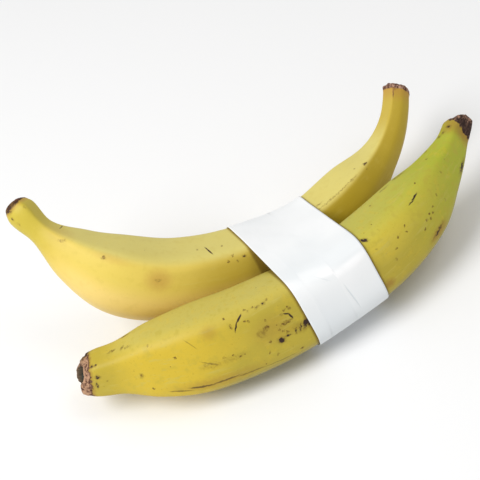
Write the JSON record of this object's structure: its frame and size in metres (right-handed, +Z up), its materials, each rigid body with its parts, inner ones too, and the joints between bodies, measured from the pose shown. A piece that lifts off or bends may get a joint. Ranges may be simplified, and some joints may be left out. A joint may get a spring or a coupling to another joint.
{
  "type": "plantain pair",
  "caption": "Ripe plantains lying side by side, held together round their middle by a plain white band, with blunt flower ends and cut stem ends.",
  "frame": {"origin": "on the table, under the middle of the pair's box", "axes": "+X along the band's axis, from the flower ends to the stem ends; +Y from the front fruit to the rear fruit; +Z up"},
  "size_m": [0.246, 0.1362, 0.0911],
  "materials": {
    "front_peel": "waxy peel, greenish yellow with brown freckles and scratches",
    "rear_peel": "waxy peel, warm yellow with a few brown marks",
    "band": "smooth white coated strip"
  },
  "bodies": {
    "root": {"front_plantain": "front_peel", "rear_plantain": "rear_peel", "band": "band"}
  },
  "joints": []
}
